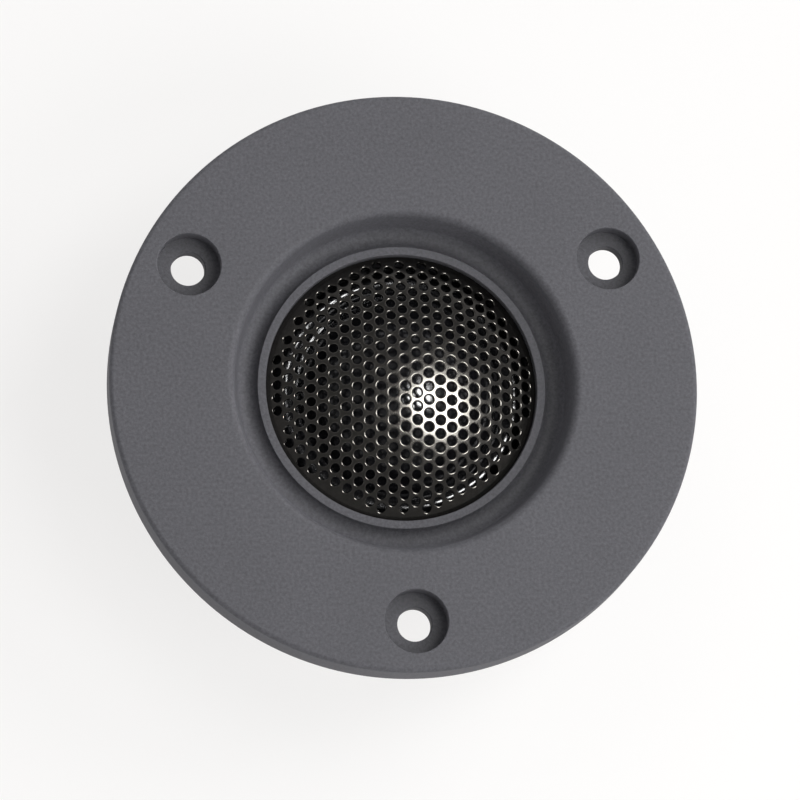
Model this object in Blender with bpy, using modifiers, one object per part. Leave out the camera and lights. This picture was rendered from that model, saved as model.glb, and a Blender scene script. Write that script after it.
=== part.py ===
"""A round flange-mount dome tweeter, modelled piece by piece, in metres.

It lies face up: +Z is the axis out of the front, and z = 0 is the back of the motor.
The single mounting hole is at -Y and the terminals are at +Y.
"""

import math

import bmesh
import bpy
from mathutils import Vector

MM = 0.001
ROUND_STEPS = 60
SMALL_STEPS = 20
MERGE = 0.000001

# Overall stack, heights above the back of the motor
FRONT_Z = 25.0 * MM
PLATE_BACK_Z = 19.8 * MM
BOSS_BACK_Z = 14.6 * MM
TOP_PLATE_Z = (11.3 * MM, 14.3 * MM)
MAGNET_Z = (3.5 * MM, 11.0 * MM)
YOKE_BASE_TOP_Z = 3.2 * MM

# Faceplate
PLATE_R = 37.0 * MM
PLATE_EDGE_ROUND = 0.6 * MM
BOSS_R = 26.0 * MM
POCKET_R = 21.8 * MM
POCKET_TOP_Z = 17.0 * MM
COLLAR_OUTER_R = 18.23 * MM
COLLAR_INNER_R = 17.16 * MM
COLLAR_TOP_Z = FRONT_Z - 3.8 * MM
GRILLE_SEAT_Z = 20.15 * MM
BORE_R = 16.8 * MM

# Annular recess between the flat face and the collar: a cove, a steep wall and a round lip
RECESS_EDGE_R = 22.36 * MM
RECESS_DEPTH = 4.9 * MM
LIP_ROUND = 1.05 * MM
WALL_TURN = math.radians(80)
TROUGH_R = 19.6 * MM
TROUGH_ROUND = 1.25 * MM

# Three counterbored mounting holes, relieved behind
MOUNT_PITCH_R = 30.6 * MM
MOUNT_HOLE_R = 2.15 * MM
COUNTERBORE_R = 4.0 * MM
COUNTERBORE_DEPTH = 2.3 * MM
RELIEF_R = 3.8 * MM
RELIEF_DEPTH = 1.2 * MM
HOLE_ANGLES = [math.radians(a) for a in (30, 150, 270)]

# Grille
GRILLE_APEX_Z = 24.8 * MM
GRILLE_SPHERE_R = 34.8 * MM
GRILLE_DOME_R = 16.4 * MM
GRILLE_RIM_R = 17.05 * MM
GRILLE_THICK = 0.45 * MM
GRILLE_RIM_Z = 20.2 * MM

# Diaphragm and its suspension
DOME_BASE_R = 12.7 * MM
DOME_BASE_Z = 16.2 * MM
DOME_RISE = 6.5 * MM
DOME_THICK = 0.3 * MM
ROLL_CENTRE_R = 14.6 * MM
ROLL_CENTRE_Z = 16.05 * MM
ROLL_OUTER = 1.6 * MM
ROLL_THICK = 0.25 * MM
SURROUND_INNER_R = 12.95 * MM
SURROUND_FLANGE_R = 19.3 * MM
SURROUND_FLANGE_Z = (15.75 * MM, 16.05 * MM)
GASKET_R = (16.9 * MM, 19.2 * MM)
GASKET_Z = (16.12 * MM, 16.9 * MM)
CARRIER_R = (16.45 * MM, 21.3 * MM)
CARRIER_Z = (14.6 * MM, 15.7 * MM)

# Voice coil
FORMER_R = (12.55 * MM, 12.70 * MM)
FORMER_Z = (10.9 * MM, 16.1 * MM)
WINDING_R = (12.75 * MM, 13.25 * MM)
WINDING_Z = (11.7 * MM, 13.9 * MM)

# Motor
TOP_PLATE_R = 25.2 * MM
GAP_OUTER_R = 13.75 * MM
POLE_R = 12.15 * MM
POLE_TOP_Z = 14.3 * MM
VENT_R = 2.0 * MM
YOKE_R = 20.5 * MM
MAGNET_R = 21.5 * MM
MAGNET_BORE_R = 14.8 * MM
EDGE_CHAMFER = 0.5 * MM
FELT_R = (2.6 * MM, 10.5 * MM)
FELT_Z = (14.6 * MM, 15.9 * MM)

# Motor screws and locating pins
SCREW_PITCH_R = 23.4 * MM
SCREW_HEAD_R = 1.6 * MM
SCREW_HEAD_H = 1.2 * MM
SCREW_SHANK_R = 0.95 * MM
SCREW_TIP_Z = 18.2 * MM
SCREW_HOLE_TOP_Z = 18.6 * MM
SCREW_HOLE_R = 1.25 * MM
PIN_PITCH_R = 19.9 * MM
PIN_R = 0.75 * MM
PIN_Z = (12.0 * MM, 15.6 * MM)
PIN_HOLE_R = 1.05 * MM

# Terminals at +Y
NOTCH_HALF_WIDTH = 8.6 * MM
NOTCH_TOP_Z = 17.9 * MM
PLATE_NOTCH_Y = 22.0 * MM
BLOCK_HALF_WIDTH = 8.2 * MM
BLOCK_INNER_Y = 22.35 * MM
BLOCK_OUTER_R = 25.9 * MM
BLOCK_Z = (11.4 * MM, 16.4 * MM)
BLADE_Y = 24.0 * MM
BLADE_THICK = 0.8 * MM
BLADE_Z = (5.0 * MM, 17.4 * MM)
BLADE_TIP = 0.9 * MM
BLADE_HOLE_R = 0.7 * MM
BLADE_HOLE_Z = 7.4 * MM
BLADE_ROOT_Z = 11.1 * MM
BLADE_ROOT_STEP = 0.15 * MM
SLOT_GAP = 0.25 * MM
BLADES = {"terminal_positive": (-4.0 * MM, 4.8 * MM), "terminal_negative": (4.3 * MM, 2.8 * MM)}
LEAD_R = 0.15 * MM
LEAD_GROOVE_HALF = 0.5 * MM
LEAD_GROOVE_DEPTH = 0.65 * MM

# Colour, metallic and roughness of each material
FINISHES = {
    "coated_alloy": ((0.10, 0.10, 0.11), 0.0, 0.65),
    "dark_sheet_steel": ((0.03, 0.027, 0.024), 0.0, 0.25),
    "coated_silk": ((0.012, 0.012, 0.014), 0.0, 0.3),
    "former_foil": ((0.55, 0.56, 0.58), 1.0, 0.4),
    "copper_wire": ((0.75, 0.35, 0.18), 1.0, 0.35),
    "black_plastic": ((0.02, 0.02, 0.022), 0.0, 0.5),
    "foam": ((0.03, 0.03, 0.03), 0.0, 0.95),
    "plated_steel": ((0.6, 0.61, 0.63), 1.0, 0.35),
    "ferrite": ((0.05, 0.05, 0.052), 0.0, 0.6),
    "felt": ((0.35, 0.35, 0.36), 0.0, 1.0),
    "tinned_brass": ((0.7, 0.62, 0.4), 1.0, 0.35),
    "screw_steel": ((0.08, 0.08, 0.085), 0.9, 0.4),
}


def clear_scene():
    for old in list(bpy.data.objects):
        bpy.data.objects.remove(old, do_unlink=True)


def new_collection(name):
    collection = bpy.data.collections.new(name)
    bpy.context.scene.collection.children.link(collection)
    return collection


def new_material(name):
    colour, metallic, roughness = FINISHES[name]
    material = bpy.data.materials.get(name) or bpy.data.materials.new(name)
    material.use_nodes = True
    shader = material.node_tree.nodes["Principled BSDF"]
    shader.inputs["Base Color"].default_value = (*colour, 1.0)
    shader.inputs["Metallic"].default_value = metallic
    shader.inputs["Roughness"].default_value = roughness
    return material


def add_object(name, mesh, collection, finish=None):
    item = bpy.data.objects.new(name, mesh)
    collection.objects.link(item)
    if finish:
        mesh.materials.append(new_material(finish))
    return item


def turned(name, profile, collection, finish=None, closed=True, steps=ROUND_STEPS):
    """A solid turned about Z from (radius, height) points, running down the outer side."""
    mesh = bpy.data.meshes.new(name)
    verts = [(radius, 0.0, height) for radius, height in profile]
    edges = [(i, i + 1) for i in range(len(verts) - 1)]
    if closed:
        edges.append((len(verts) - 1, 0))
    mesh.from_pydata(verts, edges, [])
    item = add_object(name, mesh, collection, finish)
    screw = item.modifiers.new("turn", "SCREW")
    screw.axis = "Z"
    screw.angle = math.tau
    screw.steps = steps
    screw.render_steps = steps
    screw.use_merge_vertices = True
    screw.merge_threshold = MERGE
    screw.use_smooth_shade = True
    return item


def ring(name, radii, heights, collection, finish=None, chamfer=0.0, steps=ROUND_STEPS):
    """A flat washer shape with optional chamfers on its outer edges."""
    inner, outer = radii
    low, high = heights
    if chamfer:
        outside = [(outer - chamfer, high), (outer, high - chamfer)]
        outside += [(outer, low + chamfer), (outer - chamfer, low)]
    else:
        outside = [(outer, high), (outer, low)]
    profile = [(inner, high)] + outside + [(inner, low)]
    return turned(name, profile, collection, finish, steps=steps)


def rod(name, radius, heights, collection, finish=None, place=(0.0, 0.0), steps=SMALL_STEPS):
    """A round pin or a round cutter standing along Z."""
    low, high = heights
    mesh = bpy.data.meshes.new(name)
    shape = bmesh.new()
    bmesh.ops.create_cone(
        shape,
        cap_ends=True,
        segments=steps,
        radius1=radius,
        radius2=radius,
        depth=high - low,
    )
    shape.to_mesh(mesh)
    shape.free()
    mesh.shade_smooth()
    mesh.set_sharp_from_angle(angle=math.radians(30))
    item = add_object(name, mesh, collection, finish)
    item.location = (place[0], place[1], (low + high) / 2)
    return item


def block(name, low, high, collection, finish=None):
    """A box between two corners."""
    mesh = bpy.data.meshes.new(name)
    shape = bmesh.new()
    bmesh.ops.create_cube(shape, size=1.0)
    size = Vector(high) - Vector(low)
    bmesh.ops.scale(shape, vec=size, verts=shape.verts)
    shape.to_mesh(mesh)
    shape.free()
    item = add_object(name, mesh, collection, finish)
    item.location = (Vector(low) + Vector(high)) / 2
    return item


def cut(item, cutter, operation="DIFFERENCE"):
    """Cuts one solid with another, which stays as a hidden guide."""
    cutter.hide_render = True
    cutter.display_type = "WIRE"
    boolean = item.modifiers.new(cutter.name, "BOOLEAN")
    boolean.operation = operation
    boolean.object = cutter
    boolean.solver = "EXACT"


def arc(centre_r, centre_z, radius, start, end, count):
    """Points on a circle in the profile plane; angles in degrees from +radius."""
    points = []
    for i in range(count + 1):
        angle = math.radians(start + (end - start) * i / count)
        points.append((centre_r + radius * math.cos(angle), centre_z + radius * math.sin(angle)))
    return points


def around(radius, angle):
    return (radius * math.cos(angle), radius * math.sin(angle))


def recess_profile():
    """From the collar's outer edge down the cove, up the wall and over the lip to the flat face."""
    floor_z = FRONT_Z - RECESS_DEPTH
    run, drop = TROUGH_R - COLLAR_OUTER_R, COLLAR_TOP_Z - floor_z
    cove = []
    for across, down in arc(0.0, 0.0, 1.0, 0, 90, 6)[1:-1]:
        cove.append((COLLAR_OUTER_R + run * (1 - across), COLLAR_TOP_Z - drop * down))
    turn = math.degrees(WALL_TURN)
    trough = arc(TROUGH_R, floor_z + TROUGH_ROUND, TROUGH_ROUND, 270, 270 + turn, 6)
    lip = arc(RECESS_EDGE_R, FRONT_Z - LIP_ROUND, LIP_ROUND, 90 + turn, 90, 6)
    return cove + trough + lip


def make_faceplate(parts, cutters):
    edge = PLATE_EDGE_ROUND
    profile = [(COLLAR_INNER_R, COLLAR_TOP_Z), (COLLAR_OUTER_R, COLLAR_TOP_Z)]
    profile += recess_profile()
    profile += arc(PLATE_R - edge, FRONT_Z - edge, edge, 90, 0, 3)
    profile += [(PLATE_R, PLATE_BACK_Z), (BOSS_R, PLATE_BACK_Z)]
    profile += [(BOSS_R, BOSS_BACK_Z), (POCKET_R, BOSS_BACK_Z)]
    profile += [(POCKET_R, POCKET_TOP_Z), (BORE_R, POCKET_TOP_Z)]
    profile += [(BORE_R, GRILLE_SEAT_Z), (COLLAR_INNER_R, GRILLE_SEAT_Z)]
    plate = turned("faceplate", profile, parts, "coated_alloy")
    counterbore_z = FRONT_Z - COUNTERBORE_DEPTH
    above = FRONT_Z + 1.0 * MM
    below = PLATE_BACK_Z - 1.0 * MM
    relief_z = PLATE_BACK_Z + RELIEF_DEPTH
    for number, angle in enumerate(HOLE_ANGLES, 1):
        stepped = [(0.0, above), (COUNTERBORE_R, above), (COUNTERBORE_R, counterbore_z)]
        stepped += [(MOUNT_HOLE_R, counterbore_z), (MOUNT_HOLE_R, relief_z)]
        stepped += [(RELIEF_R, relief_z), (RELIEF_R, below), (0.0, below)]
        hole = turned(f"cut_mount_hole_{number}", stepped, cutters, closed=False, steps=24)
        hole.location = (*around(MOUNT_PITCH_R, angle), 0.0)
        cut(plate, hole)
        thread_span = (BOSS_BACK_Z - 1.0 * MM, SCREW_HOLE_TOP_Z)
        place = around(SCREW_PITCH_R, angle)
        thread = rod(f"cut_thread_{number}", SCREW_HOLE_R, thread_span, cutters, place=place)
        cut(plate, thread)
    notch_low = (-NOTCH_HALF_WIDTH, POCKET_R - 2.0 * MM, BOSS_BACK_Z - 1.0 * MM)
    notch_high = (NOTCH_HALF_WIDTH, BOSS_R + 1.0 * MM, NOTCH_TOP_Z)
    cut(plate, block("cut_boss_notch", notch_low, notch_high, cutters))


def make_grille(parts):
    """The outer form of the domed sheet, with its flat rim on the seat in the collar."""
    sphere_z = GRILLE_APEX_Z - GRILLE_SPHERE_R
    spread = math.degrees(math.asin(GRILLE_DOME_R / GRILLE_SPHERE_R))
    inner_r = GRILLE_SPHERE_R - GRILLE_THICK
    outside = arc(0.0, sphere_z, GRILLE_SPHERE_R, 90, 90 - spread, 6)
    inside = arc(0.0, sphere_z, inner_r, 90 - spread, 90, 5)
    outside[0] = (0.0, GRILLE_APEX_Z)
    inside[-1] = (0.0, GRILLE_APEX_Z - GRILLE_THICK)
    rim_top = GRILLE_RIM_Z + GRILLE_THICK
    rim = [(GRILLE_RIM_R, rim_top), (GRILLE_RIM_R, GRILLE_RIM_Z), (GRILLE_DOME_R, GRILLE_RIM_Z)]
    profile = outside[:-1] + [(GRILLE_DOME_R, rim_top)] + rim + inside[1:]
    turned("grille", profile, parts, "dark_sheet_steel", closed=False)


def make_diaphragm(parts):
    sphere_r = (DOME_BASE_R ** 2 + DOME_RISE ** 2) / (2 * DOME_RISE)
    sphere_z = DOME_BASE_Z + DOME_RISE - sphere_r
    inner_r = sphere_r - DOME_THICK
    outer_turn = math.degrees(math.asin((DOME_BASE_Z - sphere_z) / sphere_r))
    inner_turn = math.degrees(math.asin((DOME_BASE_Z - sphere_z) / inner_r))
    outside = arc(0.0, sphere_z, sphere_r, 90, outer_turn, 6)
    inside = arc(0.0, sphere_z, inner_r, inner_turn, 90, 6)
    outside[0] = (0.0, sphere_z + sphere_r)
    inside[-1] = (0.0, sphere_z + inner_r)
    turned("diaphragm_dome", outside + inside, parts, "coated_silk", closed=False)


def make_surround(parts):
    low, high = SURROUND_FLANGE_Z
    inner = ROLL_OUTER - ROLL_THICK
    profile = [(SURROUND_INNER_R, high + ROLL_THICK)]
    profile += arc(ROLL_CENTRE_R, ROLL_CENTRE_Z, ROLL_OUTER, 168, 0, 7)
    profile += [(SURROUND_FLANGE_R, high), (SURROUND_FLANGE_R, low)]
    profile += [(ROLL_CENTRE_R + inner, low)]
    profile += arc(ROLL_CENTRE_R, ROLL_CENTRE_Z, inner, 0, 180, 6)
    profile += [(SURROUND_INNER_R, high)]
    turned("surround", profile, parts, "coated_silk")


def make_voice_coil(parts):
    ring("voice_coil_former", FORMER_R, FORMER_Z, parts, "former_foil")
    ring("voice_coil_winding", WINDING_R, WINDING_Z, parts, "copper_wire")


def make_carrier(parts, cutters):
    carrier = ring("diaphragm_carrier", CARRIER_R, CARRIER_Z, parts, "black_plastic")
    for number, angle in enumerate((0.0, math.pi), 1):
        place = around(PIN_PITCH_R, angle)
        span = (CARRIER_Z[0] - MM, CARRIER_Z[1] + MM)
        cut(carrier, rod(f"cut_carrier_pin_{number}", PIN_HOLE_R, span, cutters, place=place))
    for name, (centre_x, _width) in BLADES.items():
        low = (centre_x - LEAD_GROOVE_HALF, 14.0 * MM, CARRIER_Z[1] - LEAD_GROOVE_DEPTH)
        high = (centre_x + LEAD_GROOVE_HALF, 23.0 * MM, CARRIER_Z[1] + MM)
        cut(carrier, block(f"cut_groove_{name}", low, high, cutters))
    ring("front_gasket", GASKET_R, GASKET_Z, parts, "foam")


def make_motor(parts, cutters):
    plate_radii = (GAP_OUTER_R, TOP_PLATE_R)
    plate = ring("top_plate", plate_radii, TOP_PLATE_Z, parts, "plated_steel", 0.3 * MM)
    through = (TOP_PLATE_Z[0] - MM, TOP_PLATE_Z[1] + MM)
    for number, angle in enumerate(HOLE_ANGLES, 1):
        place = around(SCREW_PITCH_R, angle)
        cut(plate, rod(f"cut_plate_screw_{number}", SCREW_HOLE_R, through, cutters, place=place))
    for number, angle in enumerate((0.0, math.pi), 1):
        place = around(PIN_PITCH_R, angle)
        cut(plate, rod(f"cut_plate_pin_{number}", PIN_HOLE_R, through, cutters, place=place))
        rod(f"locating_pin_{number}", PIN_R, PIN_Z, parts, "plated_steel", place)
    notch_low = (-NOTCH_HALF_WIDTH, PLATE_NOTCH_Y, TOP_PLATE_Z[0] - MM)
    notch_high = (NOTCH_HALF_WIDTH, TOP_PLATE_R + MM, TOP_PLATE_Z[1] + MM)
    cut(plate, block("cut_plate_notch", notch_low, notch_high, cutters))

    magnet_radii = (MAGNET_BORE_R, MAGNET_R)
    ring("magnet", magnet_radii, MAGNET_Z, parts, "ferrite", EDGE_CHAMFER)

    chamfer = EDGE_CHAMFER
    yoke = [(VENT_R, POLE_TOP_Z), (POLE_R - chamfer, POLE_TOP_Z), (POLE_R, POLE_TOP_Z - chamfer)]
    yoke += [(POLE_R, YOKE_BASE_TOP_Z), (YOKE_R - chamfer, YOKE_BASE_TOP_Z)]
    yoke += [(YOKE_R, YOKE_BASE_TOP_Z - chamfer), (YOKE_R, chamfer), (YOKE_R - chamfer, 0.0)]
    yoke += [(VENT_R, 0.0)]
    turned("yoke", yoke, parts, "plated_steel")
    ring("damping_felt", FELT_R, FELT_Z, parts, "felt", steps=40)


def make_motor_screws(parts):
    seat = TOP_PLATE_Z[0] - 0.1 * MM
    base = seat - SCREW_HEAD_H
    crown = 0.35 * MM
    profile = [(0.0, SCREW_TIP_Z), (SCREW_SHANK_R - 0.3 * MM, SCREW_TIP_Z)]
    profile += [(SCREW_SHANK_R, SCREW_TIP_Z - 0.4 * MM), (SCREW_SHANK_R, seat)]
    profile += [(SCREW_HEAD_R, seat), (SCREW_HEAD_R, base + crown)]
    profile += [(SCREW_HEAD_R - crown, base), (0.0, base)]
    for number, angle in enumerate(HOLE_ANGLES, 1):
        screw = turned(
            f"motor_screw_{number}",
            profile,
            parts,
            "screw_steel",
            closed=False,
            steps=SMALL_STEPS,
        )
        screw.location = (*around(SCREW_PITCH_R, angle), 0.0)


def make_blade(name, centre_x, width, parts):
    """A flat push-on tab, standing edge down, with a pierced hole near its tip."""
    outline = bpy.data.curves.new(name, "CURVE")
    outline.dimensions = "2D"
    outline.fill_mode = "BOTH"
    outline.extrude = BLADE_THICK / 2
    half = width / 2
    low, high = BLADE_Z
    tip = BLADE_TIP
    corners = [(-half, high), (half, high), (half, low + tip), (half - tip, low)]
    corners += [(tip - half, low), (-half, low + tip)]
    hole = arc(0.0, BLADE_HOLE_Z, BLADE_HOLE_R, 0, 360, 16)[:-1]
    for loop in (corners, hole):
        spline = outline.splines.new("POLY")
        spline.points.add(len(loop) - 1)
        spline.use_cyclic_u = True
        for point, (x, z) in zip(spline.points, loop):
            point.co = (x, z, 0.0, 1.0)
    drawn = bpy.data.objects.new(name + "_outline", outline)
    parts.objects.link(drawn)
    drawn.rotation_euler = (math.pi / 2, 0.0, 0.0)
    drawn.location = (centre_x, BLADE_Y, 0.0)
    return curve_to_mesh(drawn, name, parts, "tinned_brass")


def thin_root(blade, centre_x, width, cutters):
    """The root that is pressed into the block is coined thinner, so the free face ends in a step."""
    step_y = BLADE_Y + BLADE_THICK / 2 - BLADE_ROOT_STEP
    low = (centre_x - width, step_y, BLADE_ROOT_Z)
    high = (centre_x + width, BLADE_Y + BLADE_THICK, BLADE_Z[1] + MM)
    cut(blade, block(f"cut_root_{blade.name}", low, high, cutters))


def curve_to_mesh(drawn, name, parts, finish):
    """Turns a curve into a welded mesh in the same place."""
    bpy.context.view_layer.update()
    graph = bpy.context.evaluated_depsgraph_get()
    mesh = bpy.data.meshes.new_from_object(drawn.evaluated_get(graph))
    mesh.name = name
    shape = bmesh.new()
    shape.from_mesh(mesh)
    bmesh.ops.remove_doubles(shape, verts=shape.verts, dist=MERGE)
    bmesh.ops.recalc_face_normals(shape, faces=shape.faces)
    shape.to_mesh(mesh)
    shape.free()
    mesh.materials.clear()
    item = add_object(name, mesh, parts, finish)
    item.matrix_world = drawn.matrix_world
    bpy.data.objects.remove(drawn, do_unlink=True)
    return item


def make_terminals(parts, cutters):
    low = (-BLOCK_HALF_WIDTH, BLOCK_INNER_Y, BLOCK_Z[0])
    high = (BLOCK_HALF_WIDTH, BLOCK_OUTER_R + MM, BLOCK_Z[1])
    body = block("terminal_block", low, high, parts, "black_plastic")
    span = (BLOCK_Z[0] - MM, BLOCK_Z[1] + MM)
    rounding = rod("keep_block_round", BLOCK_OUTER_R, span, cutters, steps=ROUND_STEPS)
    cut(body, rounding, "INTERSECT")
    for name, (centre_x, width) in BLADES.items():
        half_w = width / 2 + SLOT_GAP
        half_t = BLADE_THICK / 2 + SLOT_GAP
        slot_low = (centre_x - half_w, BLADE_Y - half_t, span[0])
        slot_high = (centre_x + half_w, BLADE_Y + half_t, span[1])
        cut(body, block(f"cut_slot_{name}", slot_low, slot_high, cutters))
        thin_root(make_blade(name, centre_x, width, parts), centre_x, width, cutters)


def make_leads(parts):
    """Fine wires from the coil, out under the surround and along the carrier to the blades."""
    start_r = WINDING_R[0] + 0.3 * MM
    for name, (centre_x, _width) in BLADES.items():
        foot_x = centre_x * 0.55
        foot_y = math.sqrt(start_r ** 2 - foot_x ** 2)
        groove_z = CARRIER_Z[1] - 0.32 * MM
        route = [
            (foot_x, foot_y, WINDING_Z[1] + 0.2 * MM),
            (foot_x, foot_y, 15.0 * MM),
            (foot_x + 0.1 * (centre_x - foot_x), foot_y + 0.35 * MM, 15.8 * MM),
            (foot_x + 0.4 * (centre_x - foot_x), foot_y + 1.1 * MM, 16.1 * MM),
            (foot_x + 0.8 * (centre_x - foot_x), 15.1 * MM, 15.8 * MM),
            (centre_x, 16.3 * MM, groove_z),
            (centre_x, 18.8 * MM, groove_z),
            (centre_x, 21.2 * MM, groove_z),
            (centre_x, 21.9 * MM, 15.9 * MM),
            (centre_x, 22.4 * MM, 16.7 * MM),
            (centre_x, 23.35 * MM, 16.85 * MM),
        ]
        wire = bpy.data.curves.new(name, "CURVE")
        wire.dimensions = "3D"
        wire.bevel_depth = LEAD_R
        wire.bevel_resolution = 2
        wire.use_fill_caps = True
        spline = wire.splines.new("POLY")
        spline.points.add(len(route) - 1)
        for point, place in zip(spline.points, route):
            point.co = (*place, 1.0)
        drawn = bpy.data.objects.new(name + "_route", wire)
        parts.objects.link(drawn)
        lead = name.replace("terminal", "lead_wire")
        curve_to_mesh(drawn, lead, parts, "copper_wire")


def main():
    clear_scene()
    parts = new_collection("dome_tweeter")
    cutters = new_collection("cutters")
    make_faceplate(parts, cutters)
    make_grille(parts)
    make_diaphragm(parts)
    make_surround(parts)
    make_voice_coil(parts)
    make_carrier(parts, cutters)
    make_motor(parts, cutters)
    make_motor_screws(parts)
    make_terminals(parts, cutters)
    make_leads(parts)


main()
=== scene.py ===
"""Looks of the flange-mount dome tweeter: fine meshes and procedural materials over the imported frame.

Everything is in metres in the part's own frame: +Z out of the front, z = 0 at the back of the motor.
"""

import math

import bmesh
import bpy
from mathutils import Matrix, Vector


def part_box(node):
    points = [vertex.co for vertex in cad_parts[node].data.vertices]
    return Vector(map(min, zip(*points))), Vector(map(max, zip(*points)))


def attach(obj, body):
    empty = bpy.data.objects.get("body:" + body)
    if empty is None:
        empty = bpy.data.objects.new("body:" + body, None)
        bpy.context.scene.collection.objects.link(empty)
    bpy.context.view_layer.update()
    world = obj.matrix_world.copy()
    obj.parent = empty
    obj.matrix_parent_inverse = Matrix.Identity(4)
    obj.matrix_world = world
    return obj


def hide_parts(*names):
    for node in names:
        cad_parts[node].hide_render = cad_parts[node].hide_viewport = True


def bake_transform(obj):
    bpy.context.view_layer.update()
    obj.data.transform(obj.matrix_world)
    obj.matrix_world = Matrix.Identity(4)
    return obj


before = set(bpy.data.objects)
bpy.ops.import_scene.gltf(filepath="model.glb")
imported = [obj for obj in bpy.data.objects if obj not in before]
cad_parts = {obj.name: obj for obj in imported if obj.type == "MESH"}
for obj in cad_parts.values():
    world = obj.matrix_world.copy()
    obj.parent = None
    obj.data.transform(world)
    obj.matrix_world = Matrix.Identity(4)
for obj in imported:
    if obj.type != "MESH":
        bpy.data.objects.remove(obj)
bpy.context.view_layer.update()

MM = 0.001
HOLE_ANGLES = [math.radians(a) for a in (30, 150, 270)]
FINE = 192  # steps round a large turned piece
PAST = 1.0 * MM  # how far a cutter runs beyond the faces that it opens

# Places read from the frame
PLATE_LOW, PLATE_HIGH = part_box("faceplate")
FRONT_Z = PLATE_HIGH.z
PLATE_R = PLATE_HIGH.x
BOSS_BACK_Z = PLATE_LOW.z
GRILLE_LOW, GRILLE_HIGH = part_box("grille")
DOME_LOW, DOME_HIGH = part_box("diaphragm_dome")
SURROUND_LOW, SURROUND_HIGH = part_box("surround")
WINDING_LOW, WINDING_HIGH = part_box("voice_coil_winding")
TOP_LOW, TOP_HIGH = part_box("top_plate")
MAGNET_LOW, MAGNET_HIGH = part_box("magnet")
YOKE_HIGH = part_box("yoke")[1]

# Faceplate
PLATE_BACK_Z = FRONT_Z - 5.2 * MM
PLATE_FRONT_EDGE = 0.6 * MM
PLATE_BACK_EDGE = 0.3 * MM
BOSS_R = 26.0 * MM
BOSS_FOOT = 0.3 * MM
POCKET_R = 21.8 * MM
POCKET_TOP_Z = 17.0 * MM
POCKET_EDGE = 0.1 * MM
COLLAR_OUTER_R = 18.23 * MM
COLLAR_INNER_R = 17.16 * MM
COLLAR_TOP_Z = FRONT_Z - 3.8 * MM
COLLAR_EDGE = 0.12 * MM
GRILLE_SEAT_Z = GRILLE_LOW.z - 0.05 * MM
BORE_R = 16.8 * MM
RECESS_EDGE_R = 22.36 * MM
RECESS_DEPTH = 4.9 * MM
LIP_ROUND = 1.05 * MM
WALL_TURN = 80  # degrees that the wall turns up from the trough
TROUGH_R = 19.6 * MM
TROUGH_ROUND = 1.25 * MM
MOUNT_PITCH_R = 30.6 * MM
MOUNT_HOLE_R = 2.15 * MM
MOUNT_HOLE_EDGE = 0.12 * MM
COUNTERBORE_R = 4.0 * MM
COUNTERBORE_DEPTH = 2.3 * MM
RELIEF_R = 3.8 * MM
RELIEF_DEPTH = 1.2 * MM
SCREW_PITCH_R = 23.4 * MM
SCREW_HOLE_R = 1.25 * MM
SCREW_HOLE_TOP_Z = 18.6 * MM
NOTCH_HALF_WIDTH = 8.6 * MM
NOTCH_TOP_Z = 17.9 * MM

# Grille sheet
GRILLE_SPHERE_R = 34.8 * MM
GRILLE_THICK = 0.45 * MM
HOLE_PITCH = 1.72 * MM
HOLE_R = 0.58 * MM
HOLE_ROUND = 0.18 * MM
HOLE_BURR = 0.04 * MM
HOLE_SIDES = 24
HOLES_REACH = 16.8 * MM
LATTICE_REACH = 18.4 * MM
LATTICE_TURN = math.radians(-91.44)
LATTICE_SHIFT = (-0.01 * MM, -0.67 * MM)
TRIM_BACK_Z = 15.0 * MM
RIM_START_R = 16.7 * MM
RIM_LAP = 0.1 * MM
RIM_LIFT = 0.003 * MM

# Diaphragm
DOME_THICK = 0.3 * MM
ROLL_R = 14.6 * MM
ROLL_Z = 16.05 * MM
ROLL_OUTER = 1.6 * MM
ROLL_THICK = 0.25 * MM
CLOTH_THICK = 0.3 * MM
SURROUND_START_R = DOME_HIGH.x + 0.005 * MM
SECTORS = 12
SECTOR_STEPS = 10
WIRE_R = 0.12 * MM
COIL_INNER_R = 12.75 * MM

# Motor
TOP_BORE_R = 13.75 * MM
TOP_NOTCH_Y = 22.0 * MM
MAGNET_BORE_R = 14.8 * MM
POLE_R = 12.15 * MM
BASE_TOP_Z = 3.2 * MM
VENT_R = 2.0 * MM
SHANK_R = 0.95 * MM
THREAD_PITCH = 0.4 * MM
THREAD_DEPTH = 0.14 * MM
HEAD_HEIGHT = 1.2 * MM
HEAD_ROUND = 0.7 * MM
CROSS_HALF_WIDTH = 0.16 * MM
CROSS_HALF_LENGTH = 0.85 * MM
CROSS_DEPTH = 0.7 * MM

# Terminals
BLOCK_FAR_Y = 27.0 * MM
BLOCK_OUTER_R = 25.9 * MM
SLOT_GAP = 0.25 * MM
BLADE_ROOT_Z = 11.1 * MM
BLADE_ROOT_STEP = 0.15 * MM
BLADE_TIP = 0.9 * MM
BLADE_TIP_INSET = 0.41
BLADE_HOLE_R = 0.7 * MM
BLADE_HOLE_Z = 7.4 * MM

# Light
KEY_DIRECTION = (0.363, 0.038, 0.929)
KEY_RADIANCE = 26.0
KEY_DISTANCE, KEY_RADIUS = 0.6, 0.125
# Azimuth and tilt from the axis in degrees, and the light that each sends onto the flat face
SOFT_LIGHTS = ((28, 52, 1.3), (-38, 52, 1.0), (112, 40, 0.32), (-68, 40, 0.22))
SOFT_DISTANCE, SOFT_RADIUS = 0.9, 0.28
SKY_SIDES = (1.1, 1.1, 1.12)
SKY_OVERHEAD = (0.19, 0.19, 0.195)
FLOOR_GLOW = 0.75

# Camera
FOCAL_LENGTH = 211.9
CAMERA_RIGHT = (0.99196, -0.04576, 0.11802)
CAMERA_BACK = (-0.12536, -0.22575, 0.96608)
CAMERA_PLACE = (-0.0744, -0.1351, 0.5671 + FRONT_Z)


# ---------------------------------------------------------------- materials

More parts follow.
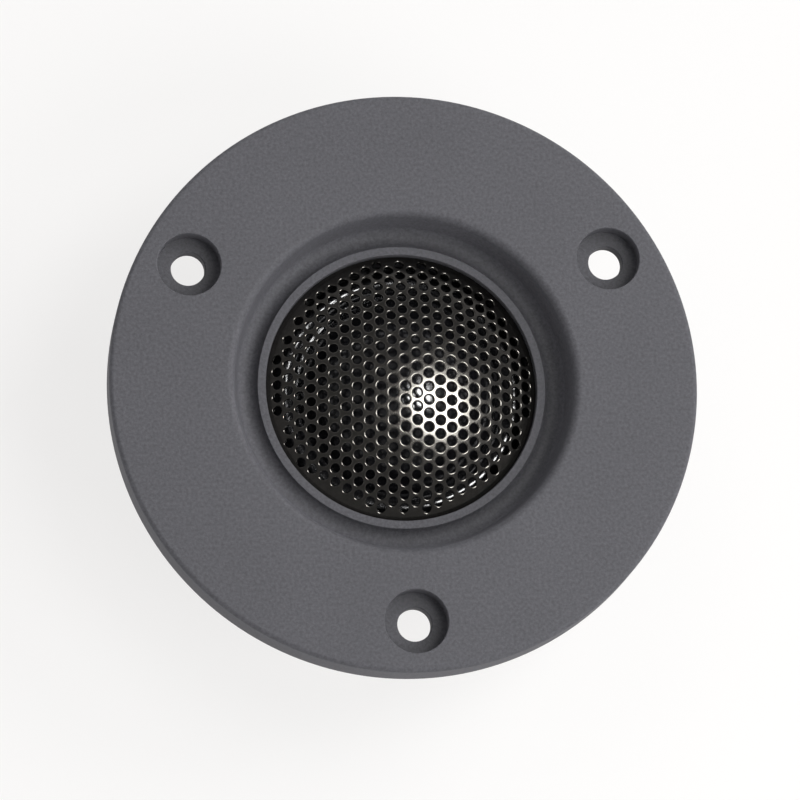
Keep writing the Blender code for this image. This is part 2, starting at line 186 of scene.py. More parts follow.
def add_node(tree, kind, **values):
    node = tree.nodes.new(kind)
    for key, value in values.items():
        if key in node.inputs:
            node.inputs[key].default_value = value
        else:
            setattr(node, key, value)
    return node


def new_material(name, roughness, metallic=0.0):
    material = bpy.data.materials.new(name)
    material.use_nodes = True
    tree = material.node_tree
    shader = tree.nodes["Principled BSDF"]
    shader.inputs["Roughness"].default_value = roughness
    shader.inputs["Metallic"].default_value = metallic
    place = add_node(tree, "ShaderNodeTexCoord")
    return material, tree, shader, place.outputs["Object"]


def noise(tree, vector, scale, detail=4.0, roughness=0.6):
    node = add_node(tree, "ShaderNodeTexNoise", Scale=scale, Detail=detail, Roughness=roughness)
    tree.links.new(vector, node.inputs["Vector"])
    return node.outputs["Fac"]


def two_tone(tree, factor, dark, light, low=0.3, high=0.7):
    """Colours a 0..1 pattern, dark up to the low position and light from the high one."""
    ramp = add_node(tree, "ShaderNodeValToRGB")
    ramp.color_ramp.elements[0].position = low
    ramp.color_ramp.elements[0].color = (*dark, 1.0)
    ramp.color_ramp.elements[1].position = high
    ramp.color_ramp.elements[1].color = (*light, 1.0)
    tree.links.new(factor, ramp.inputs["Fac"])
    return ramp.outputs["Color"]


def spread(tree, factor, low, high):
    """Maps a 0..1 pattern onto a range, for roughness."""
    node = add_node(tree, "ShaderNodeMapRange")
    node.inputs["To Min"].default_value = low
    node.inputs["To Max"].default_value = high
    tree.links.new(factor, node.inputs["Value"])
    return node.outputs["Result"]


def bump(tree, shader, height, distance, strength):
    node = add_node(tree, "ShaderNodeBump", Strength=strength, Distance=distance)
    tree.links.new(height, node.inputs["Height"])
    tree.links.new(node.outputs["Normal"], shader.inputs["Normal"])


def powder_coat():
    """Fine sand-textured dark grey coat over the alloy."""
    material, tree, shader, place = new_material("coated_alloy", 0.7)
    shader.inputs["Specular IOR Level"].default_value = 0.25
    grain = noise(tree, place, 2600.0, 3.0, 0.65)
    cloud = noise(tree, place, 90.0, 2.0)
    fine = two_tone(tree, grain, (0.068, 0.067, 0.074), (0.113, 0.112, 0.124))
    broad = two_tone(tree, cloud, (0.94, 0.94, 0.94), (1.0, 1.0, 1.0))
    mix = add_node(tree, "ShaderNodeMix", data_type="RGBA", blend_type="MULTIPLY")
    mix.inputs["Factor"].default_value = 1.0
    tree.links.new(fine, mix.inputs["A"])
    tree.links.new(broad, mix.inputs["B"])
    tree.links.new(mix.outputs["Result"], shader.inputs["Base Color"])
    tree.links.new(spread(tree, grain, 0.6, 0.8), shader.inputs["Roughness"])
    bump(tree, shader, grain, 0.05 * MM, 0.6)
    return material


def dark_gloss_sheet():
    """Dark plated sheet of the grille, with a warm cast."""
    material, tree, shader, place = new_material("grille_steel", 0.2, 1.0)
    grain = noise(tree, place, 1500.0, 2.0)
    colour = two_tone(tree, grain, (0.095, 0.09, 0.082), (0.12, 0.114, 0.104))
    tree.links.new(colour, shader.inputs["Base Color"])
    tree.links.new(spread(tree, grain, 0.17, 0.23), shader.inputs["Roughness"])
    bump(tree, shader, grain, 0.002 * MM, 0.4)
    return material


def coated_silk():
    """Glossy coated dome cloth: the weave still shows faintly under the coating."""
    material, tree, shader, place = new_material("dome_silk", 0.2)
    cloth = add_node(tree, "ShaderNodeMath", operation="MULTIPLY")
    for socket, direction in zip(cloth.inputs, "XY"):
        weave = add_node(tree, "ShaderNodeTexWave", Scale=900.0, Distortion=0.4)
        weave.bands_direction = direction
        tree.links.new(place, weave.inputs["Vector"])
        tree.links.new(weave.outputs["Fac"], socket)
    colour = two_tone(tree, cloth.outputs[0], (0.01, 0.01, 0.012), (0.018, 0.018, 0.02))
    tree.links.new(colour, shader.inputs["Base Color"])
    shader.inputs["Coat Weight"].default_value = 0.6
    shader.inputs["Coat Roughness"].default_value = 0.08
    bump(tree, shader, cloth.outputs[0], 0.006 * MM, 0.4)
    return material


def turned_metal(name, dark, light, roughness):
    """Bright metal with concentric tool marks round Z."""
    material, tree, shader, place = new_material(name, roughness, 1.0)
    rings = add_node(tree, "ShaderNodeTexWave", Scale=420.0, Distortion=1.2, Detail=2.0)
    rings.wave_type = "RINGS"
    rings.rings_direction = "Z"
    tree.links.new(place, rings.inputs["Vector"])
    grain = noise(tree, place, 500.0)
    tree.links.new(two_tone(tree, grain, dark, light), shader.inputs["Base Color"])
    tree.links.new(spread(tree, grain, roughness - 0.06, roughness + 0.1), shader.inputs["Roughness"])
    bump(tree, shader, rings.outputs["Fac"], 0.006 * MM, 0.5)
    return material


def rough_stuff(name, dark, light, roughness, scale, height, metallic=0.0):
    """A plain mottled surface: ferrite, felt, foam, moulded plastic, wire, strip or screw."""
    material, tree, shader, place = new_material(name, roughness, metallic)
    grain = noise(tree, place, scale, 5.0, 0.65)
    tree.links.new(two_tone(tree, grain, dark, light), shader.inputs["Base Color"])
    low, high = max(roughness - 0.08, 0.05), min(roughness + 0.08, 1.0)
    tree.links.new(spread(tree, grain, low, high), shader.inputs["Roughness"])
    bump(tree, shader, grain, height, 0.7)
    return material


MATERIALS = {
    "coated_alloy": powder_coat(),
    "grille_steel": dark_gloss_sheet(),
    "dome_silk": coated_silk(),
    "former_foil": turned_metal("former_foil", (0.55, 0.56, 0.58), (0.7, 0.71, 0.73), 0.3),
    "copper_wire": rough_stuff(
        "copper_wire", (0.62, 0.26, 0.12), (0.8, 0.4, 0.22), 0.3, 700.0, 0.002 * MM, 1.0
    ),
    "black_plastic": rough_stuff(
        "black_plastic", (0.018, 0.018, 0.02), (0.03, 0.03, 0.033), 0.5, 1500.0, 0.01 * MM
    ),
    "foam": rough_stuff("foam", (0.015, 0.015, 0.015), (0.05, 0.05, 0.05), 0.9, 2500.0, 0.06 * MM),
    "plated_steel": turned_metal("plated_steel", (0.52, 0.53, 0.54), (0.68, 0.69, 0.72), 0.3),
    "ferrite": rough_stuff(
        "ferrite", (0.035, 0.035, 0.037), (0.075, 0.075, 0.08), 0.55, 900.0, 0.015 * MM
    ),
    "felt": rough_stuff("felt", (0.22, 0.22, 0.23), (0.45, 0.45, 0.46), 0.95, 1800.0, 0.08 * MM),
    "tinned_brass": rough_stuff(
        "tinned_brass", (0.62, 0.57, 0.45), (0.78, 0.74, 0.62), 0.3, 600.0, 0.003 * MM, 1.0
    ),
    "screw_steel": rough_stuff(
        "screw_steel", (0.05, 0.05, 0.055), (0.11, 0.11, 0.115), 0.35, 900.0, 0.004 * MM, 0.9
    ),
}


# ---------------------------------------------------------------- mesh tools

def arc(centre_r, centre_z, radius, start, end, count):
    """Points on a circle in the profile plane, angles in degrees from +radius."""
    points = []
    for i in range(count + 1):
        angle = math.radians(start + (end - start) * i / count)
        points.append((centre_r + radius * math.cos(angle), centre_z + radius * math.sin(angle)))
    return points


def rounded(corners, radius, count=4):
    """Rounds the corners of a closed profile; a corner given as (r, z, own radius) keeps its own."""
    points = []
    total = len(corners)
    for i, corner in enumerate(corners):
        here = Vector(corner[:2])
        before = Vector(corners[i - 1][:2])
        after = Vector(corners[(i + 1) % total][:2])
        bend = corner[2] if len(corner) > 2 else radius
        back, on = before - here, after - here
        bend = min(bend, back.length * 0.45, on.length * 0.45)
        start = here + back.normalized() * bend
        end = here + on.normalized() * bend
        for k in range(count + 1):
            t = k / count
            point = start * (1 - t) ** 2 + here * 2 * t * (1 - t) + end * t ** 2
            points.append(tuple(point))
    return points


def around(radius, angle):
    return Vector((radius * math.cos(angle), radius * math.sin(angle), 0.0))


def band(loop, other):
    """The faces between two loops of vertex numbers."""
    return list(zip(loop, loop[1:] + loop[:1], other[1:] + other[:1], other))


def add_object(name, data):
    item = bpy.data.objects.new(name, data)
    bpy.context.scene.collection.objects.link(item)
    return item


def smooth(item, angle=35):
    item.data.shade_smooth()
    item.data.set_sharp_from_angle(angle=math.radians(angle))


def finished(name, mesh, shape, finish):
    """Writes the shape into the mesh and makes the object; a cutter has no finish."""
    shape.to_mesh(mesh)
    shape.free()
    item = add_object(name, mesh)
    if finish:
        mesh.materials.append(MATERIALS[finish])
    smooth(item)
    return item


def object_from(name, verts, faces, finish=None):
    mesh = bpy.data.meshes.new(name)
    mesh.from_pydata([tuple(v) for v in verts], [], faces)
    shape = bmesh.new()
    shape.from_mesh(mesh)
    bmesh.ops.remove_doubles(shape, verts=shape.verts, dist=1e-7)
    bmesh.ops.recalc_face_normals(shape, faces=shape.faces)
    return finished(name, mesh, shape, finish)


def box(name, low, high, finish=None):
    shape = bmesh.new()
    bmesh.ops.create_cube(shape, size=1.0)
    low, high = Vector(low), Vector(high)
    for vert in shape.verts:
        vert.co = Vector(((low[i] + high[i]) / 2 + vert.co[i] * (high[i] - low[i]) for i in range(3)))
    return finished(name, bpy.data.meshes.new(name), shape, finish)


def lathe(name, profile, finish=None, steps=FINE, closed=True):
    """Turns (radius, height) points about Z; an open profile starts and ends on the axis."""
    angles = [math.tau * k / steps for k in range(steps)]
    verts = [(r * math.cos(a), r * math.sin(a), z) for r, z in profile for a in angles]
    loops = [list(range(i * steps, (i + 1) * steps)) for i in range(len(profile))]
    faces = []
    for i in range(len(loops) if closed else len(loops) - 1):
        faces += band(loops[i], loops[(i + 1) % len(loops)])
    return object_from(name, verts, faces, finish)


def plug(name, radius, low, high, steps=32):
    """A plain cylinder on Z to cut with."""
    return lathe(name, [(0.0, high), (radius, high), (radius, low), (0.0, low)], steps=steps, closed=False)


def apply_modifiers(item):
    graph = bpy.context.evaluated_depsgraph_get()
    mesh = bpy.data.meshes.new_from_object(item.evaluated_get(graph))
    item.modifiers.clear()
    old = item.data
    item.data = mesh
    bpy.data.meshes.remove(old)


def cut(item, cutters, operation="DIFFERENCE", solver="EXACT"):
    """Cuts the item with each closed cutter in turn; a cut that changes nothing stops the script."""
    for cutter in cutters:
        before = len(item.data.vertices)
        boolean = item.modifiers.new("cut", "BOOLEAN")
        boolean.operation = operation
        boolean.object = cutter
        boolean.solver = solver
        apply_modifiers(item)
        if len(item.data.vertices) == before:
            raise RuntimeError(f"the cut of {item.name} by {cutter.name} changed nothing")
        bpy.data.objects.remove(cutter, do_unlink=True)


def bevel(item, width, segments):
    edges = item.modifiers.new("edge", "BEVEL")
    edges.width = width
    edges.segments = segments
    edges.limit_method = "ANGLE"
    apply_modifiers(item)


def settle(item, body, node):
    """Puts a finished piece on its body and hides the CAD node that it stands for."""
    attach(item, body)
    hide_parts(node)


def flex(item, node):
    """Bakes the piece's placement into its mesh and hides the CAD node that it stands for."""
    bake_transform(item)
    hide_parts(node)


# ---------------------------------------------------------------- faceplate

def recess_profile():
    """From the collar's outer edge down the cove, up the wall and over the lip to the flat face."""
    floor_z = FRONT_Z - RECESS_DEPTH
    run, drop = TROUGH_R - COLLAR_OUTER_R, COLLAR_TOP_Z - floor_z
    cove = []
    for across, down in arc(0.0, 0.0, 1.0, 0, 90, 24)[5:-1]:
        cove.append((COLLAR_OUTER_R + run * (1 - across), COLLAR_TOP_Z - drop * down))
    trough = arc(TROUGH_R, floor_z + TROUGH_ROUND, TROUGH_ROUND, 270, 270 + WALL_TURN, 20)
    lip = arc(RECESS_EDGE_R, FRONT_Z - LIP_ROUND, LIP_ROUND, 90 + WALL_TURN, 90, 18)
    return cove + trough + lip


def mount_hole_profile():
    """Counterbore, through hole and the relief behind it, as one stepped cutter."""
    floor = FRONT_Z - COUNTERBORE_DEPTH
    edge_r, edge = COUNTERBORE_R + MOUNT_HOLE_EDGE, MOUNT_HOLE_EDGE
    steps = [(0.0, FRONT_Z + PAST), (edge_r, FRONT_Z + PAST)]
    steps += arc(edge_r, FRONT_Z - edge, edge, 90, 180, 4)
    steps += [(COUNTERBORE_R, floor), (MOUNT_HOLE_R + edge, floor)]
    steps += [(MOUNT_HOLE_R, floor - edge), (MOUNT_HOLE_R, PLATE_BACK_Z + RELIEF_DEPTH)]
    steps += [(RELIEF_R, PLATE_BACK_Z + RELIEF_DEPTH), (RELIEF_R, PLATE_BACK_Z - PAST)]
    return steps + [(0.0, PLATE_BACK_Z - PAST)]


def make_faceplate():
    front, back, collar = PLATE_FRONT_EDGE, PLATE_BACK_EDGE, COLLAR_EDGE
    profile = arc(COLLAR_INNER_R + collar, COLLAR_TOP_Z - collar, collar, 180, 90, 4)
    profile += arc(COLLAR_OUTER_R - collar, COLLAR_TOP_Z - collar, collar, 90, 0, 4)
    profile += recess_profile()
    profile += arc(PLATE_R - front, FRONT_Z - front, front, 90, 0, 6)
    profile += arc(PLATE_R - back, PLATE_BACK_Z + back, back, 0, -90, 4)
    profile += [(BOSS_R + BOSS_FOOT, PLATE_BACK_Z), (BOSS_R, PLATE_BACK_Z - BOSS_FOOT)]
    profile += arc(BOSS_R - back, BOSS_BACK_Z + back, back, 0, -90, 4)
    profile += [(POCKET_R + POCKET_EDGE, BOSS_BACK_Z), (POCKET_R, BOSS_BACK_Z + POCKET_EDGE)]
    profile += [(POCKET_R, POCKET_TOP_Z), (BORE_R, POCKET_TOP_Z)]
    profile += [(BORE_R, GRILLE_SEAT_Z), (COLLAR_INNER_R, GRILLE_SEAT_Z)]
    plate = lathe("faceplate_finish", profile, "coated_alloy")
    cutters = []
    for angle in HOLE_ANGLES:
        hole = lathe("hole", mount_hole_profile(), steps=64, closed=False)
        hole.location = around(MOUNT_PITCH_R, angle)
        thread = plug("thread", SCREW_HOLE_R, BOSS_BACK_Z - PAST, SCREW_HOLE_TOP_Z)
        thread.location = around(SCREW_PITCH_R, angle)
        cutters += [hole, thread]
    notch_low = (-NOTCH_HALF_WIDTH, POCKET_R - 2 * MM, BOSS_BACK_Z - PAST)
    cutters.append(box("notch", notch_low, (NOTCH_HALF_WIDTH, BOSS_R + PAST, NOTCH_TOP_Z)))
    cut(plate, cutters)
    smooth(plate, 30)
    weight = plate.modifiers.new("normals", "WEIGHTED_NORMAL")
    weight.keep_sharp = True
    weight.weight = 100
    settle(plate, "chassis", "faceplate")


# ---------------------------------------------------------------- grille

def sheet_point(u, v, depth):
    """A point of the flat lattice bent onto the dome; depth runs inwards."""
    rho = math.hypot(u, v)
    slope = rho / GRILLE_SPHERE_R
    reach = GRILLE_SPHERE_R - depth
    z = GRILLE_HIGH.z - GRILLE_SPHERE_R + reach * math.cos(slope)
    if rho < 1e-9:
        return (0.0, 0.0, z)
    r = reach * math.sin(slope)
    return (u / rho * r, v / rho * r, z)


def lattice():
    """Centres of the cells of the flat sheet, in plain floats so that neighbours meet."""
    ways = (LATTICE_TURN, LATTICE_TURN + math.pi / 3)
    (ax, ay), (bx, by) = [(HOLE_PITCH * math.cos(a), HOLE_PITCH * math.sin(a)) for a in ways]
    count = int(LATTICE_REACH / HOLE_PITCH * 1.3) + 2
    centres = []
    for i in range(-count, count + 1):
        for j in range(-count, count + 1):
            x = LATTICE_SHIFT[0] + ax * i + bx * j
            y = LATTICE_SHIFT[1] + ay * i + by * j
            if math.hypot(x, y) < LATTICE_REACH:
                centres.append((x, y))
    return centres


def cell_outline(x, y, turns):
    """The hexagon round one centre, with a point at each turn."""
    points = []
    for k, turn in enumerate(turns):
        off = (k % (HOLE_SIDES // 6)) * math.tau / HOLE_SIDES
        if off > math.pi / 6:
            off -= math.pi / 3
        reach = HOLE_PITCH / 2 / math.cos(off)
        points.append((x + reach * math.cos(turn), y + reach * math.sin(turn)))
    return points


def hole_rings():
    """Radius and depth of each ring down one hole, whose front edge is rolled over."""
    rings = [(HOLE_R + HOLE_ROUND + 0.015 * MM, 0.0)]
    for k in range(6):
        t = math.pi / 2 * k / 5
        rings.append((HOLE_R + HOLE_ROUND * (1 - math.sin(t)), HOLE_ROUND * (1 - math.cos(t))))
    return rings + [(HOLE_R, GRILLE_THICK - HOLE_BURR), (HOLE_R + HOLE_BURR, GRILLE_THICK)]


def make_grille():
    """One closed sheet of hexagonal cells, with a hole in each but the outermost."""
    verts, lookup, faces = [], {}, []

    def loop_of(points, depth):
        """Vertex numbers of the points at one depth, shared between neighbouring cells."""
        loop = []
        for u, v in points:
            key = (round(u * 1e7), round(v * 1e7), round(depth * 1e7))
            if key not in lookup:
                lookup[key] = len(verts)
                verts.append(sheet_point(u, v, depth))
            loop.append(lookup[key])
        return loop

    turns = [LATTICE_TURN + math.tau * k / HOLE_SIDES for k in range(HOLE_SIDES)]
    rings = hole_rings()
    edge_use = {}
    for x, y in lattice():
        outline = cell_outline(x, y, turns)
        front = loop_of(outline, 0.0)
        if math.hypot(x, y) > HOLES_REACH:
            back = loop_of(outline, GRILLE_THICK)
            faces += [tuple(front), tuple(reversed(back))]
        else:
            loops = [front]
            for radius, depth in rings:
                circle = [(x + radius * math.cos(t), y + radius * math.sin(t)) for t in turns]
                loops.append(loop_of(circle, depth))
            back = loop_of(outline, GRILLE_THICK)
            loops.append(back)
            for outer, inner in zip(loops[:-1], loops[1:]):
                faces += band(outer, inner)
        for side in band(front, back):
            edge_use.setdefault(tuple(sorted(side[:2])), []).append(side)
    faces += [sides[0] for sides in edge_use.values() if len(sides) == 1]
    grille = object_from("grille_sheet", verts, faces, "grille_steel")
    trim = plug("trim", RIM_START_R, TRIM_BACK_Z, FRONT_Z + PAST, FINE)
    cut(grille, [trim], "INTERSECT", "MANIFOLD")
    smooth(grille, 50)
    settle(grille, "chassis", "grille")


def make_grille_rim():
    """The plain rim of the same sheet, pressed flat underneath where it sits in the collar."""
    inner, outer = RIM_START_R - RIM_LAP, GRILLE_HIGH.x
    profile = []
    for k in range(7):
        slope = math.asin((inner + (outer - inner) * k / 6) / GRILLE_SPHERE_R)
        r, _side, z = sheet_point(slope * GRILLE_SPHERE_R, 0.0, -RIM_LIFT)
        profile.append((min(r, outer), z))
    profile += [(outer, GRILLE_LOW.z), (inner, GRILLE_LOW.z)]
    settle(lathe("grille_rim", profile, "grille_steel"), "chassis", "grille")


# ---------------------------------------------------------------- diaphragm

def make_dome():
    rise = DOME_HIGH.z - DOME_LOW.z
    base_r = DOME_HIGH.x
    sphere_r = (base_r ** 2 + rise ** 2) / (2 * rise)
    sphere_z = DOME_HIGH.z - sphere_r
    inside_r = sphere_r - DOME_THICK
    outer_turn = math.degrees(math.asin((DOME_LOW.z - sphere_z) / sphere_r))
    inner_turn = math.degrees(math.asin((DOME_LOW.z - sphere_z) / inside_r))
    profile = arc(0.0, sphere_z, sphere_r, 90, outer_turn, 36)
    profile += arc(0.0, sphere_z, inside_r, inner_turn, 90, 24)
    dome = lathe("dome_cloth", profile, "dome_silk", steps=96, closed=False)
    settle(dome, "diaphragm", "diaphragm_dome")


def surround_profile():
    """The half roll with its inner hem against the dome and its flat outer hem."""
    inside = ROLL_OUTER - ROLL_THICK
    low = SURROUND_LOW.z
    high = low + CLOTH_THICK
    hem_r = ROLL_R + ROLL_OUTER + 0.4 * MM
    profile = [(SURROUND_START_R, high + ROLL_THICK)]
    profile += arc(ROLL_R, ROLL_Z, ROLL_OUTER, 168, 0, 22)
    profile += [(hem_r, high), (SURROUND_HIGH.x, high), (SURROUND_HIGH.x, low)]
    profile += [(ROLL_R + inside, low)]
    profile += arc(ROLL_R, ROLL_Z, inside, 0, 180, 16)
    return profile + [(SURROUND_START_R, high)]


def make_surround():
    """The surround in radial sectors, each a separate piece."""
    profile = surround_profile()
    rows = len(profile)
    for s in range(SECTORS):
        verts, faces = [], []
        for k in range(SECTOR_STEPS + 1):
            angle = math.tau * (s + k / SECTOR_STEPS) / SECTORS
            verts += [(r * math.cos(angle), r * math.sin(angle), z) for r, z in profile]
        for k in range(SECTOR_STEPS):
            here, there = k * rows, (k + 1) * rows
            for i in range(rows):
                j = (i + 1) % rows
                faces.append((here + i, there + i, there + j, here + j))
        sector = object_from(f"surround_sector_{s + 1}", verts, faces, "dome_silk")
        flex(sector, "surround")


def make_coil():
    """The outer layer of round wire, laid side by side on the former."""
    low, high = WINDING_LOW.z, WINDING_HIGH.z
    outside = []
    for k in range(int((high - low) / (2 * WIRE_R))):
        centre_z = high - WIRE_R * (2 * k + 1)
        outside += arc(WINDING_HIGH.x - WIRE_R, centre_z, WIRE_R, 75, -75, 4)
    profile = [(COIL_INNER_R, high)] + outside + [(COIL_INNER_R, outside[-1][1])]
    coil = lathe("coil_wire", profile, "copper_wire", steps=96)
    settle(coil, "diaphragm", "voice_coil_winding")


# ---------------------------------------------------------------- motor

def ring_corners(inner, outer, low, high):
    return [(inner, high), (outer, high), (outer, low), (inner, low)]


def make_top_plate():
    outer, low, high = TOP_HIGH.x, TOP_LOW.z, TOP_HIGH.z
    profile = rounded(ring_corners(TOP_BORE_R, outer, low, high), 0.35 * MM)
    plate = lathe("top_plate_finish", profile, "plated_steel")
    notch_low = (-NOTCH_HALF_WIDTH, TOP_NOTCH_Y, low - PAST)
    cutters = [box("notch", notch_low, (NOTCH_HALF_WIDTH, outer + PAST, high + PAST))]
    for angle in HOLE_ANGLES:
        hole = plug("hole", SCREW_HOLE_R, low - PAST, high + PAST)
        hole.location = around(SCREW_PITCH_R, angle)
        cutters.append(hole)
    cut(plate, cutters)
    smooth(plate, 30)
    settle(plate, "chassis", "top_plate")


def make_magnet():
    corners = ring_corners(MAGNET_BORE_R, MAGNET_HIGH.x, MAGNET_LOW.z, MAGNET_HIGH.z)
    magnet = lathe("magnet_finish", rounded(corners, 0.55 * MM, 5), "ferrite")
    settle(magnet, "chassis", "magnet")


def make_yoke():
    """Pole and base in one, with a vent through it and a shallow groove in its back."""
    outer, pole, base = YOKE_HIGH.x, POLE_R, BASE_TOP_Z
    groove_z, edge = 0.25 * MM, 0.1 * MM
    corners = [(VENT_R, YOKE_HIGH.z, 0.2 * MM), (pole, YOKE_HIGH.z, 0.4 * MM), (pole, base, 0.3 * MM)]
    corners += [(outer, base, 0.5 * MM), (outer, 0.0, 0.5 * MM)]
    corners += [(pole - MM, 0.0, edge), (pole - 1.4 * MM, groove_z, edge)]
    corners += [(pole - 2.2 * MM, groove_z, edge), (pole - 2.6 * MM, 0.0, edge)]
    corners += [(VENT_R, 0.0, 0.5 * MM)]
    yoke = lathe("yoke_finish", rounded(corners, 0.3 * MM, 5), "plated_steel")
    settle(yoke, "chassis", "yoke")


def screw_profile(low, high, head_r):
    """From the point of the shank down the thread and over the head, back to the axis."""
    seat = low + HEAD_HEIGHT
    thread_top = high - 0.4 * MM
    profile = [(0.0, high), (SHANK_R - 0.35 * MM, high), (SHANK_R - 0.1 * MM, high - 0.3 * MM)]
    for k in range(int((thread_top - seat - 0.6 * MM) / THREAD_PITCH)):
        top = thread_top - k * THREAD_PITCH
        profile += [(SHANK_R, top), (SHANK_R - THREAD_DEPTH, top - THREAD_PITCH * 0.5)]
    profile += [(SHANK_R, seat + 0.4 * MM), (SHANK_R, seat), (head_r, seat)]
    profile += [(head_r, seat - 0.45 * MM)]
    profile += arc(head_r - HEAD_ROUND, seat - 0.5 * MM, HEAD_ROUND, 0, -90, 6)[1:]
    return profile + [(0.0, low)]


def make_motor_screws():
    for number, angle in enumerate(HOLE_ANGLES, 1):
        node = f"motor_screw_{number}"
        low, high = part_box(node)
        profile = screw_profile(low.z, high.z, (high.x - low.x) / 2)
        screw = lathe("head", profile, "screw_steel", steps=40, closed=False)
        cross = []
        for x, y in ((CROSS_HALF_WIDTH, CROSS_HALF_LENGTH), (CROSS_HALF_LENGTH, CROSS_HALF_WIDTH)):
            cross.append(box("arm", (-x, -y, low.z - PAST), (x, y, low.z + CROSS_DEPTH)))
        cut(screw, cross)
        smooth(screw, 40)
        screw.name = f"motor_screw_finish_{number}"
        screw.data.transform(Matrix.Translation(around(SCREW_PITCH_R, angle)))
        settle(screw, "chassis", node)


# ---------------------------------------------------------------- terminals

def make_terminal_block():
    low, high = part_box("terminal_block")
    block = box("terminal_body", low, (high.x, BLOCK_FAR_Y, high.z), "black_plastic")
    cut(block, [plug("keep", BLOCK_OUTER_R, low.z - PAST, high.z + PAST, FINE)], "INTERSECT")
    bevel(block, 0.3 * MM, 3)
    cutters = []
    for node in ("terminal_positive", "terminal_negative"):
        near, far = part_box(node)
        slot_low = (near.x - SLOT_GAP, near.y - SLOT_GAP, low.z - PAST)
        cutters.append(box("slot", slot_low, (far.x + SLOT_GAP, far.y + SLOT_GAP, high.z + PAST)))
    cut(block, cutters)
    smooth(block)
    settle(block, "chassis", "terminal_block")


def make_blades():
    """The two tabs: a thinner root inside the block, cut corners at the tip and a latch hole."""
    for node in ("terminal_positive", "terminal_negative"):
        near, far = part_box(node)
        blade = box(node + "_blade", near, far, "tinned_brass")
        root_low = (near.x - PAST, far.y - BLADE_ROOT_STEP, BLADE_ROOT_Z)
        cutters = [box("root", root_low, (far.x + PAST, far.y + PAST, far.z + PAST))]
        for side in (near.x, far.x):
            corner = box("corner", (-BLADE_TIP, -5 * MM, -BLADE_TIP), (BLADE_TIP, 5 * MM, BLADE_TIP))
            corner.rotation_euler = (0.0, math.radians(45), 0.0)
            corner.location = (side, near.y, near.z - BLADE_TIP * BLADE_TIP_INSET)
            cutters.append(corner)
        middle = (near + far) / 2
        hole = plug("hole", BLADE_HOLE_R, -3 * MM, 3 * MM)
        hole.rotation_euler = (math.pi / 2, 0.0, 0.0)
        hole.location = (middle.x, middle.y, BLADE_HOLE_Z)
        cut(blade, cutters + [hole])
        bevel(blade, 0.1 * MM, 2)
        smooth(blade, 30)
        settle(blade, "chassis", node)


def make_leads():
    """The lead wires, copied from their CAD nodes and rounded off."""
    for end in ("positive", "negative"):
        node = "lead_wire_" + end
        wire = add_object(node + "_tinsel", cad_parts[node].data.copy())
        wire.data.materials.clear()
        wire.data.materials.append(MATERIALS["copper_wire"])
        round_up = wire.modifiers.new("round", "SUBSURF")
        round_up.levels = 2
        round_up.render_levels = 2
        apply_modifiers(wire)
        smooth(wire, 60)
        flex(wire, node)


def finish_cad_nodes():
    """The plain inner pieces keep their CAD shape and take a real surface."""
    kept = {
        "voice_coil_former": "former_foil",
        "diaphragm_carrier": "black_plastic",
        "front_gasket": "foam",
        "damping_felt": "felt",
        "locating_pin_1": "plated_steel",
        "locating_pin_2": "plated_steel",
    }
    for node, slot in kept.items():
        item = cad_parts[node]
        item.data.materials.clear()
        item.data.materials.append(MATERIALS[slot])


# ---------------------------------------------------------------- stage

def make_stage():
    """A pale floor that glows a little, so shadows on it stay faint."""
    floor = box("floor", (-2.0, -2.0, -0.02), (2.0, 2.0, 0.0))
    material, tree, shader, place = new_material("floor_diffuser", 0.7)
    cloud = noise(tree, place, 3.0)
    colour = two_tone(tree, cloud, (0.16, 0.159, 0.157), (0.18, 0.179, 0.177))
    tree.links.new(colour, shader.inputs["Base Color"])
    shader.inputs["Emission Color"].default_value = (1.0, 0.99, 0.98, 1.0)
    shader.inputs["Emission Strength"].default_value = FLOOR_GLOW
    floor.data.materials.append(material)


def area_light(name, direction, distance, radius, radiance):
    """A round light of a given brightness, aimed at the middle of the front face."""
    light = bpy.data.lights.new(name, "AREA")
    light.shape = "DISK"
    light.size = 2 * radius
    light.energy = radiance * math.pi * math.pi * radius ** 2
    item = add_object(name, light)
    middle = Vector((0, 0, FRONT_Z))
    item.location = middle + Vector(direction).normalized() * distance
    item.rotation_mode = "QUATERNION"
    item.rotation_quaternion = (middle - item.location).to_track_quat("-Z", "Y")
    return item


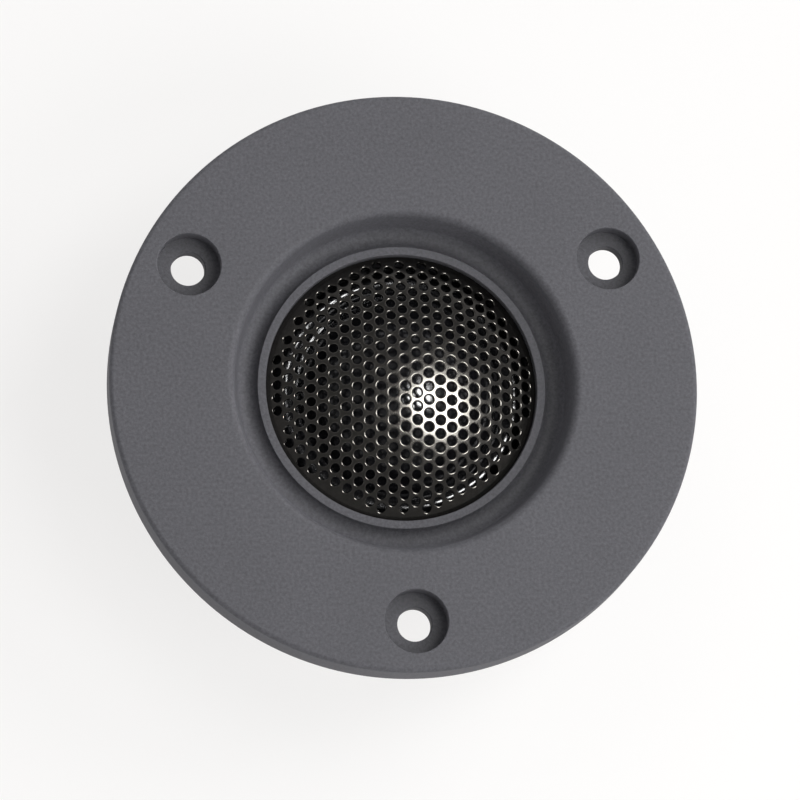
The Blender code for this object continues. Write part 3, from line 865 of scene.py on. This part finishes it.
def make_lights():
    """A key seen only in reflections, and soft lights that shade but don't glare."""
    key = area_light("key", KEY_DIRECTION, KEY_DISTANCE, KEY_RADIUS, KEY_RADIANCE)
    key.visible_diffuse = False
    for azimuth, tilt, lit in SOFT_LIGHTS:
        tilt = math.radians(tilt)
        direction = around(math.sin(tilt), math.radians(azimuth)) + Vector((0, 0, math.cos(tilt)))
        radiance = lit / (math.pi * (SOFT_RADIUS / SOFT_DISTANCE) ** 2 * math.cos(tilt))
        soft = area_light(f"soft_{azimuth}", direction, SOFT_DISTANCE, SOFT_RADIUS, radiance)
        soft.visible_glossy = False


def make_sky():
    """Bright round the sides and dim overhead."""
    world = bpy.data.worlds.new("studio")
    bpy.context.scene.world = world
    world.use_nodes = True
    tree = world.node_tree
    place = add_node(tree, "ShaderNodeTexCoord")
    split = add_node(tree, "ShaderNodeSeparateXYZ")
    tree.links.new(place.outputs["Generated"], split.inputs["Vector"])
    sky = two_tone(tree, split.outputs["Z"], SKY_SIDES, SKY_OVERHEAD, 0.25, 0.55)
    background = tree.nodes["Background"]
    tree.links.new(sky, background.inputs["Color"])
    background.inputs["Strength"].default_value = 1.0


def make_camera():
    """Above the front face, a little to its lower left, with a long lens."""
    camera = bpy.data.cameras.new("camera")
    camera.sensor_width = 36.0
    camera.lens = FOCAL_LENGTH
    camera.clip_start = 0.05
    camera.clip_end = 10.0
    item = add_object("camera", camera)
    right, back = Vector(CAMERA_RIGHT).normalized(), Vector(CAMERA_BACK).normalized()
    up = back.cross(right).normalized()
    right = up.cross(back).normalized()
    turn = Matrix((right, up, back)).transposed()
    item.matrix_world = Matrix.Translation(Vector(CAMERA_PLACE)) @ turn.to_4x4()
    bpy.context.scene.camera = item


make_camera()
make_faceplate()
make_grille()
make_grille_rim()
make_dome()
make_surround()
make_coil()
make_top_plate()
make_magnet()
make_yoke()
make_motor_screws()
make_terminal_block()
make_blades()
make_leads()
finish_cad_nodes()
make_stage()
make_lights()
make_sky()
bpy.context.scene.view_settings.view_transform = "Standard"
